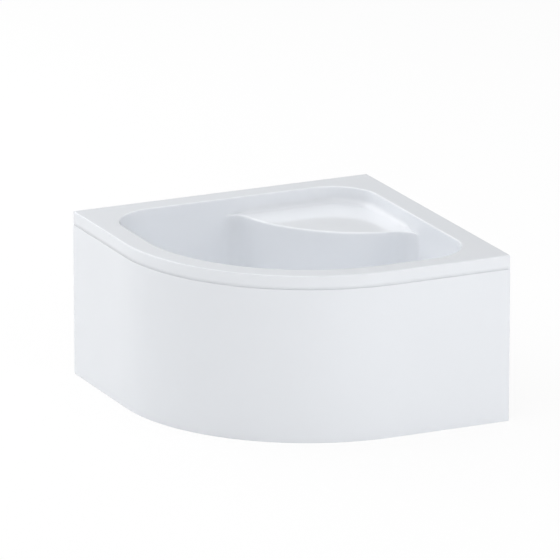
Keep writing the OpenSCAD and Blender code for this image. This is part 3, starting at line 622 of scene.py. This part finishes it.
def threaded_stud(name, node):
    """Stud with a rolled thread, its ends chamfered, as large as the box of the node that it replaces."""
    pitch, depth, around = 0.00175, 0.00095, 20
    chamfer, end_step = 0.001, 0.0003
    low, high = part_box(node)
    cx, cy = (low.x + high.x) / 2, (low.y + high.y) / 2
    crest = (high.x - low.x) / 2
    root = crest - depth
    rows = int((high.z - low.z) / (pitch / 2))
    verts, faces = [], []
    for k in range(rows + 1):
        for i in range(around):
            a = 2 * math.pi * i / around
            z = low.z + k * pitch / 2 + pitch * i / around
            r = crest if k % 2 else root
            z = min(max(z, low.z), high.z)
            if z - low.z < chamfer or high.z - z < chamfer:
                r = min(r, root - end_step + (z - low.z), root - end_step + (high.z - z))
            verts.append((cx + r * math.cos(a), cy + r * math.sin(a), z))
    for k in range(rows):
        for i in range(around):
            j = (i + 1) % around
            step = 2 if j == 0 else 0
            if k + step + 1 > rows:
                continue
            faces.append((k * around + i, (k + step) * around + j, (k + step + 1) * around + j,
                          (k + 1) * around + i))
    faces.append(tuple(range(around))[::-1])
    faces.append(tuple(range(rows * around, (rows + 1) * around)))
    return new_mesh(name, verts, faces)


# Camera and light: angles from the front, distance and target in metres, lens and sensor in millimetres

AZIMUTH, ELEVATION, DISTANCE = math.radians(-25.03), math.radians(16.54), 19.932
TARGET = Vector((-0.0287, 0.0, 0.3397))
LENS, SENSOR = 467.5, 36.0

# Softboxes round the tray: azimuth and elevation in degrees, side in metres and power in watts
SOFTBOXES = {
    "left": (105, 14, 3.6, 48),
    "right": (285, 14, 3.6, 66),
    "right_back": (315, 14, 3.6, 93),
    "raised_back": (105, 32, 3.6, 75),
    "raised_left": (135, 32, 3.6, 68),
    "raised_front": (225, 32, 3.6, 20),
    "high_back": (45, 48, 4.2, 81),
    "high_left": (165, 48, 4.2, 69),
    "high_front": (225, 48, 4.2, 99),
    "overhead": (0, 88, 4.2, 50),
}
LAMP_AIM = Vector((0, 0, 0.3))
LAMP_DISTANCE = 6.0
LOW_LAMP = 30  # degrees; lower lamps would show as white patches in the rim

AMBIENT_COLOUR = [1.0, 1.0, 1.0]
AMBIENT = 0.15
BACKDROP_TOP = 0.25
BACKDROP_RISE = (3, 12)  # degrees above the horizon between which the backdrop turns from white to grey


def set_camera():
    """A long lens from the front left, looking down on the tray."""
    back = Vector((math.sin(AZIMUTH) * math.cos(ELEVATION), -math.cos(AZIMUTH) * math.cos(ELEVATION),
                   math.sin(ELEVATION)))
    data = bpy.data.cameras.new("camera")
    data.sensor_width = SENSOR
    data.lens = LENS
    data.clip_end = 200
    camera = bpy.data.objects.new("camera", data)
    camera.location = TARGET + back * DISTANCE
    camera.rotation_euler = (-back).to_track_quat("-Z", "Y").to_euler()
    bpy.context.scene.collection.objects.link(camera)
    bpy.context.scene.camera = camera


def softbox(name, azimuth, elevation, size, power):
    """A square lamp facing the tray; azimuth 0 is towards +X and 90 towards +Y."""
    a, e = math.radians(azimuth), math.radians(elevation)
    away = Vector((math.cos(e) * math.cos(a), math.cos(e) * math.sin(a), math.sin(e)))
    data = bpy.data.lights.new(name, "AREA")
    data.shape = "SQUARE"
    data.size = size
    data.energy = power
    lamp = bpy.data.objects.new(name, data)
    lamp.location = LAMP_AIM + away * LAMP_DISTANCE
    lamp.rotation_euler = (-away).to_track_quat("-Z", "Y").to_euler()
    lamp.visible_camera = False
    lamp.visible_glossy = elevation > LOW_LAMP
    bpy.context.scene.collection.objects.link(lamp)


def set_world():
    """White low down, where the camera looks, and a pale grey backdrop above that shows in the gloss."""
    world = bpy.data.worlds.new("studio")
    world.use_nodes = True
    bpy.context.scene.world = world
    tree = world.node_tree
    out = tree.nodes["World Output"]
    ambient = tree.nodes["Background"]
    ambient.inputs["Color"].default_value = (*AMBIENT_COLOUR, 1)
    ambient.inputs["Strength"].default_value = AMBIENT
    height = tree.nodes.new("ShaderNodeSeparateXYZ")
    tree.links.new(tree.nodes.new("ShaderNodeTexCoord").outputs["Generated"], height.inputs["Vector"])
    rise = tree.nodes.new("ShaderNodeMapRange")
    rise.interpolation_type = "SMOOTHSTEP"
    for key, degrees in zip(("From Min", "From Max"), BACKDROP_RISE):
        rise.inputs[key].default_value = math.sin(math.radians(degrees))
    tree.links.new(height.outputs["Z"], rise.inputs["Value"])
    white = tree.nodes.new("ShaderNodeBackground")
    grey = tree.nodes.new("ShaderNodeBackground")
    grey.inputs["Strength"].default_value = BACKDROP_TOP
    backdrop = tree.nodes.new("ShaderNodeMixShader")
    tree.links.new(rise.outputs["Result"], backdrop.inputs["Fac"])
    tree.links.new(white.outputs[0], backdrop.inputs[1])
    tree.links.new(grey.outputs[0], backdrop.inputs[2])
    mix = tree.nodes.new("ShaderNodeMixShader")
    tree.links.new(seen_directly(tree), mix.inputs["Fac"])
    tree.links.new(ambient.outputs[0], mix.inputs[1])
    tree.links.new(backdrop.outputs[0], mix.inputs[2])
    tree.links.new(mix.outputs[0], out.inputs["Surface"])


bpy.context.scene.view_settings.view_transform = "Standard"
set_camera()
set_world()
for name, (azimuth, elevation, size, power) in SOFTBOXES.items():
    softbox(name, azimuth, elevation, size, power)

nodes = frame["nodes"]
white = acrylic()
backing = laminate()
plated = zinc()
FINISH = {
    "shell": white,
    "apron": white,
    "batten": backing,
    "board": chipboard(),
    "rail": galvanised(),
    "zinc": plated,
    "magnet": fine_grained("nickel_plate", (0.45, 0.46, 0.48), 0.3, 600.0, metallic=1.0),
    "black_plastic": fine_grained("black_plastic", (0.035, 0.035, 0.038), 0.5, 500.0),
    "chrome": chrome(),
    "seal": rubber(),
    "trap_plastic": fine_grained("white_polypropylene", (0.78, 0.78, 0.76), 0.4, 420.0),
}
for part in frame["record"]["subparts"]:
    piece = nodes[part["node"]]
    for slot in piece.material_slots:
        slot.material = FINISH[part["material_slot"]]

shell = build_shell()
dress(shell, white, backing)
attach(shell, "tray")
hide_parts("tray_shell")

apron = build_apron()
dress(apron, white, backing)
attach(apron, "apron")
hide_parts("apron_panel")

for foot in ("left", "right", "front_left", "front_right", "rear"):
    stud = threaded_stud(f"foot_{foot}_thread", f"foot_{foot}_stud")
    dress(stud, plated)
    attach(stud, f"foot_{foot}")
    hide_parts(f"foot_{foot}_stud")

far = 60
floor = new_mesh("floor", [(-far, -far, 0), (far, -far, 0), (far, far, 0), (-far, far, 0)], [(0, 1, 2, 3)],
                 smooth=False)
dress(floor, floor_material())
